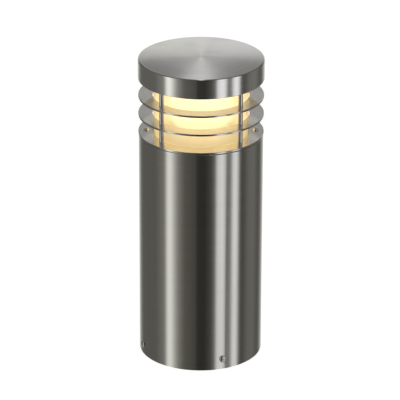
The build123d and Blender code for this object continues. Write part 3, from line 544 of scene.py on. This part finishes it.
def copies_tree():
    """A geometry tree that sets a copy of a piece on every point, turned to face as its point says."""
    tree = bpy.data.node_groups.new("copies_at_places", "GeometryNodeTree")
    entries = (("Places", "NodeSocketGeometry"), ("Piece", "NodeSocketObject"),
               ("Finish", "NodeSocketMaterial"), ("Spin", "NodeSocketFloat"), ("Seed", "NodeSocketInt"))
    for label, kind in entries:
        tree.interface.new_socket(name=label, in_out="INPUT", socket_type=kind)
    tree.interface.new_socket(name="Copies", in_out="OUTPUT", socket_type="NodeSocketGeometry")
    entry, leave = tree.nodes.new("NodeGroupInput"), tree.nodes.new("NodeGroupOutput")
    piece = node(tree, "GeometryNodeObjectInfo", inputs={"Object": entry.outputs["Piece"]})
    facing = node(tree, "GeometryNodeInputNamedAttribute", data_type="FLOAT_VECTOR",
                  inputs={"Name": "facing"})
    aligned = node(tree, "FunctionNodeAlignRotationToVector", axis="Z",
                   inputs={"Vector": facing.outputs[0]})
    sources = {"Min": maths(tree, "MULTIPLY", entry.outputs["Spin"], -1.0),
               "Max": entry.outputs["Spin"], "Seed": entry.outputs["Seed"]}
    chance = node(tree, "FunctionNodeRandomValue", data_type="FLOAT")
    for socket in chance.inputs:
        if socket.enabled and socket.name in sources:
            tree.links.new(sources[socket.name], socket)
    spin = node(tree, "FunctionNodeAxisAngleToRotation",
                inputs={"Axis": (0.0, 0.0, 1.0), "Angle": next(s for s in chance.outputs if s.enabled)})
    turned = node(tree, "FunctionNodeRotateRotation", rotation_space="LOCAL",
                  inputs={"Rotation": aligned.outputs[0], "Rotate By": spin.outputs[0]})
    placed = node(tree, "GeometryNodeInstanceOnPoints",
                  inputs={"Points": entry.outputs["Places"], "Instance": piece.outputs["Geometry"],
                          "Rotation": turned.outputs[0]})
    real = node(tree, "GeometryNodeRealizeInstances", inputs={"Geometry": placed.outputs[0]})
    coated = node(tree, "GeometryNodeSetMaterial",
                  inputs={"Geometry": real.outputs[0], "Material": entry.outputs["Finish"]})
    tree.links.new(coated.outputs[0], leave.inputs[0])
    return tree


COPIES = copies_tree()
QUARTER_TURN = 0.5 * math.pi


def spread(name, piece, places, facings, finish, body, stands_for, seed):
    """Copies of a piece at places, as one mesh that rides on a body and stands for a CAD node.

    Each copy is turned about its own axis by chance, by up to a quarter turn either way.  The piece goes.
    """
    holder = mesh_object(name, places, [])
    attribute = holder.data.attributes.new("facing", "FLOAT_VECTOR", "POINT")
    for item, facing in zip(attribute.data, facings):
        item.vector = facing
    modifier = holder.modifiers.new("copies", "NODES")
    modifier.node_group = COPIES
    keys = {item.name: item.identifier for item in COPIES.interface.items_tree if item.in_out == "INPUT"}
    modifier[keys["Piece"]] = piece
    modifier[keys["Finish"]] = finishes[finish]
    modifier[keys["Spin"]] = QUARTER_TURN
    modifier[keys["Seed"]] = seed
    made = baked(holder, name)
    bpy.data.objects.remove(piece)
    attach(made, body)
    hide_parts(stands_for)


def ring_places(radius, level, count, first):
    """Places and outward directions round the axis."""
    turns = [math.radians(first) + math.tau * n / count for n in range(count)]
    outward = [Vector((math.cos(turn), math.sin(turn), 0.0)) for turn in turns]
    return [out * radius + Vector((0, 0, level)) for out in outward], outward


def hexagon_nut(name, across, height, bore):
    """A hexagon nut on Z = 0, with its corners turned down and the mouths of its hole countersunk.

    Bore is the radius of the hole.
    """
    flat, mouth, around = across / 2, 0.25 * MM, 96
    level_face = 0.94 * flat
    vertices, faces = [], []
    for step in range(around):
        turn = math.tau * step / around
        lean = (turn + math.pi / 6) % (math.pi / 3) - math.pi / 6
        wall = min(flat / math.cos(lean), 1.12 * flat)
        drop = 0.5 * (wall - level_face)
        section = [(bore + mouth, 0), (level_face, 0), (wall, drop), (wall, height - drop),
                   (level_face, height), (bore + mouth, height), (bore, height - mouth), (bore, mouth)]
        vertices += [(out * math.cos(turn), out * math.sin(turn), level) for out, level in section]
    count = len(section)
    for step in range(around):
        here, beside = step * count, (step + 1) % around * count
        for n in range(count):
            m = (n + 1) % count
            faces.append((here + n, beside + n, beside + m, here + m))
    return mesh_object(name, vertices, faces)


def lamp_shell(low, high, root, crest, pitch, first_turn, last_turn):
    """The lamp's threaded cap: one rounded thread, which runs out at both ends."""
    rings, around, lip = 96, 128, 0.5 * MM
    profile = [(0, low), (root - lip, low), (root, low + lip)]
    profile += [(root, low + lip + (high - low - lip) * ring / rings) for ring in range(1, rings + 1)]
    profile.append((0, high))
    wave = thread_wave(pitch, crest - root, first_turn, last_turn)
    return turned_mesh("lamp_shell", profile, around, lambda level, share: wave(level, share + 0.5))


def middle(box):
    """The middle of a box."""
    return (box[0] + box[1]) / 2


UP, DOWN, FORWARD = Vector((0, 0, 1)), Vector((0, 0, -1)), Vector((0, -1, 0))
SIDES = (-1, 1)
FINE_PITCH = 0.5 * MM
BASE_HEAD = (7 * MM, 2.3 * MM)
TOP_HEAD = (5.2 * MM, 1.8 * MM)
SMALL_HEAD = (5.5 * MM, 2 * MM)
BLOCK_HEAD = (3.6 * MM, 1.8 * MM)
TUBE_SCREW_TURN = 21.5
STRAP_THICKNESS = 1.5 * MM
BRACKET_FOOT_TOP = 5.5 * MM
WASHER_WIDTH = 7 * MM
EARTH_NUT_HEIGHT = 3.2 * MM
LAMP_THREAD_PITCH = 3.629 * MM
LAMP_THREAD_DEPTH = 0.8 * MM

base_level = middle(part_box("tube_screws")).z
places, outward = ring_places(tube_high.x, base_level, 4, TUBE_SCREW_TURN)
base_screw = pan_screw("base_screw", 4 * MM, 7.5 * MM, BASE_HEAD, 0.7 * MM)
spread("base_screws", base_screw, places, outward, "bright_screws", "post", "tube_screws", seed=4)

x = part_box("head_screws")[1].x - TOP_HEAD[0] / 2
places = [(side * x, 0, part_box("collar_plate")[1].z) for side in SIDES]
top_screw = pan_screw("top_screw", 3 * MM, 8 * MM, TOP_HEAD, FINE_PITCH)
spread("collar_screws", top_screw, places, [UP] * 2, "bright_screws", "head", "head_screws", seed=9)

strap_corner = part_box("strap_screws")[1]
x, y = strap_corner.x - SMALL_HEAD[0] / 2, strap_corner.y - SMALL_HEAD[0] / 2
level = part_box("lamp_strap")[1].z - STRAP_THICKNESS
places = [(a * x, b * y, level) for a in SIDES for b in SIDES]
strap_screw = pan_screw("strap_screw", 3 * MM, 4.2 * MM, SMALL_HEAD, FINE_PITCH)
spread("lug_screws", strap_screw, places, [DOWN] * 4, "zinc_screws", "post", "strap_screws", seed=3)

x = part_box("lampholder_screws")[1].x - SMALL_HEAD[0] / 2
places = [(side * x, 0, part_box("lamp_strap")[0].z) for side in SIDES]
holder_screw = pan_screw("holder_screw", 3 * MM, 9 * MM, SMALL_HEAD, FINE_PITCH)
spread("holder_screws", holder_screw, places, [DOWN] * 2, "zinc_screws", "post", "lampholder_screws", seed=6)

bracket_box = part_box("bracket_screws")
x = bracket_box[1].x - SMALL_HEAD[0] / 2
places = [(side * x, middle(bracket_box).y, BRACKET_FOOT_TOP) for side in SIDES]
bracket_screw = pan_screw("bracket_screw", 3 * MM, 4 * MM, SMALL_HEAD, FINE_PITCH)
spread("foot_screws", bracket_screw, places, [UP] * 2, "zinc_screws", "post", "bracket_screws", seed=8)

block_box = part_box("block_screws")
x = block_box[1].x - BLOCK_HEAD[0] / 2
places = [(side * x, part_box("terminal_block")[0].y, middle(block_box).z) for side in SIDES]
block_screw = pan_screw("block_screw", 3 * MM, 15 * MM, BLOCK_HEAD, FINE_PITCH)
spread("terminal_fixings", block_screw, places, [FORWARD] * 2, "zinc_screws", "post", "block_screws", seed=5)

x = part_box("stud_washers")[1].x - WASHER_WIDTH / 2
places = [(a * x, b * x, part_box("stud_nuts")[0].z) for a in SIDES for b in SIDES]
stud_nut = hexagon_nut("stud_nut", 5.5 * MM, 2.4 * MM, 1.55 * MM)
spread("clamping_nuts", stud_nut, places, [UP] * 4, "bright_screws", "head", "stud_nuts", seed=2)

earth_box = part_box("earth_nuts")
levels = (earth_box[0].z, earth_box[1].z - EARTH_NUT_HEIGHT)
places = [(0, middle(earth_box).y, level) for level in levels]
earth_nut = hexagon_nut("earth_nut", 7 * MM, EARTH_NUT_HEIGHT, 2.05 * MM)
spread("earth_stud_nuts", earth_nut, places, [UP] * 2, "brass_parts", "post", "earth_nuts", seed=7)

shell_low, shell_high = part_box("lamp_cap")
lamp_cap_shell = lamp_shell(shell_low.z, shell_high.z, shell_high.x - LAMP_THREAD_DEPTH, shell_high.x,
                            LAMP_THREAD_PITCH, shell_low.z + 2 * MM, shell_high.z - 1.5 * MM)
lamp_cap_shell.data.materials.append(finishes["nickel_shell"])
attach(lamp_cap_shell, "lamp_turn")
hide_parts("lamp_cap")


# ------------------------------------------------------------------ studio
EYE_HEIGHT = 154.04 * MM
EYE_DISTANCE = 2760.8 * MM
EYE_ELEVATION = math.radians(22.88)
EYE_ROLL = math.radians(0.18)
EYE_SIDESTEP = -0.77 * MM
LENS = 257.24
SENSOR = 36.0


def make_camera():
    """A long lens, looking down at the light from its -Y side."""
    data = bpy.data.cameras.new("studio_camera")
    data.lens, data.sensor_width = LENS, SENSOR
    data.clip_start, data.clip_end = 0.05, 50.0
    camera = bpy.data.objects.new("studio_camera", data)
    bpy.context.scene.collection.objects.link(camera)
    back = Vector((0, -math.cos(EYE_ELEVATION), math.sin(EYE_ELEVATION)))
    camera.location = Vector((EYE_SIDESTEP, 0, EYE_HEIGHT)) + back * EYE_DISTANCE
    camera.rotation_euler = Euler((math.pi / 2 - EYE_ELEVATION, 0, 0))
    camera.rotation_euler.rotate_axis("Z", EYE_ROLL)
    bpy.context.scene.camera = camera


# What stands round the light, going from behind it past its left (-X) side to the camera, and on past its
# right side: the direction in degrees from the camera, and how bright the studio is there.
WALL_PANELS = [
    (-180, 0.84), (-158, 0.62), (-149, 0.2), (-140, 0.132), (-92, 0.13), (-84, 0.18), (-74, 0.225),
    (-69.5, 0.33), (-65, 1.03), (-59, 1.07), (-49, 0.47), (-43, 0.25), (-31, 0.115), (-10, 0.078),
    (-6, 0.037), (7, 0.033), (19, 0.07), (26, 0.15), (31.5, 0.82), (40, 0.99), (45.5, 0.8), (49.5, 0.19),
    (56.5, 0.18), (62, 0.82), (66, 1.03), (71.5, 0.97), (76, 0.24), (81, 0.07), (90, 0.10), (98, 0.17),
    (116, 0.19), (129, 0.12), (137, 0.09), (147, 0.2), (157, 0.56), (180, 0.84),
]
COOL_FROM = 28  # direction past which the bright panels are cooler

# The long soft box over the light runs along Y: shares of the half turn from behind to the camera's side.
STRIP_LEVELS = [
    (0.0, 0.97), (0.067, 0.97), (0.1, 0.62), (0.128, 0.36), (0.156, 0.6), (0.19, 0.86), (0.31, 0.86),
    (0.6, 0.85), (0.8, 0.25), (1.0, 0.1),
]
STRIP_EDGE = (0.024, 0.036)  # from its middle to where it starts and ends fading, as a sine
CEILING = (0.115, 0.112, 0.108)
WALL_TURNS = (math.radians(95), math.radians(150))  # the walls get lower between these, to either side
WALL_TOPS = (math.radians(38), math.radians(14))
WALL_FADE = math.radians(10)


def make_world():
    """A pale studio: strip lights and dark screens round the light, and a long soft box over it."""
    world = bpy.data.worlds.new("studio")
    bpy.context.scene.world = world
    world.use_nodes = True
    tree = world.node_tree
    tree.nodes.clear()
    x, y, z = split(tree, node(tree, "ShaderNodeTexCoord").outputs["Generated"])
    turn = maths(tree, "ARCTAN2", x, maths(tree, "MULTIPLY", y, -1.0))
    share = maths(tree, "MULTIPLY_ADD", turn, 1 / math.tau, 0.5)
    half = len(WALL_PANELS) // 2
    panels = []
    for direction, light in WALL_PANELS:
        green = 0.985 + 0.025 * light
        blue = 0.88 + (0.15 if direction > COOL_FROM else 0.09) * light
        panels.append(((direction + 180) / 360, (light, light * green, light * blue)))
    left = ramp(tree, share, panels[: half + 1])
    right = ramp(tree, share, panels[half:])
    walls = mix_colour(tree, maths(tree, "GREATER_THAN", share, panels[half][0]), left, right)
    wall_top = ease(tree, maths(tree, "ABSOLUTE", turn), *WALL_TURNS, *WALL_TOPS)
    above = ease(tree, maths(tree, "SUBTRACT", maths(tree, "ARCSINE", z), wall_top), 0.0, WALL_FADE)
    outside = ease(tree, maths(tree, "ABSOLUTE", x), *STRIP_EDGE)
    along = maths(tree, "DIVIDE", maths(tree, "ARCTAN2", z, y), math.pi)
    overhead = mix_colour(tree, outside, ramp(tree, along, STRIP_LEVELS), CEILING)
    seen = mix_colour(tree, above, walls, overhead)
    ray = node(tree, "ShaderNodeLightPath")
    colour = mix_colour(tree, ray.outputs["Is Camera Ray"], seen, (1.0, 1.0, 1.0))
    background = node(tree, "ShaderNodeBackground", inputs={0: colour})
    output = node(tree, "ShaderNodeOutputWorld")
    tree.links.new(background.outputs[0], output.inputs[0])


def make_floor():
    """A plain pale floor, out of the metal's reflections."""
    half = 6.0
    corners = [(-half, -half, 0), (half, -half, 0), (half, half, 0), (-half, half, 0)]
    floor = mesh_object("studio_floor", corners, [(0, 1, 2, 3)])
    paper = new_finish("studio_paper", Roughness=0.9, Specular_IOR_Level=0.0, Emission_Strength=0.87,
                       Base_Color=(0.85, 0.85, 0.85, 1.0), Emission_Color=(1.0, 1.0, 1.0, 1.0))[0]
    floor.data.materials.append(paper)
    floor.visible_glossy = False


bpy.context.scene.view_settings.view_transform = "Standard"
make_camera()
make_world()
make_floor()
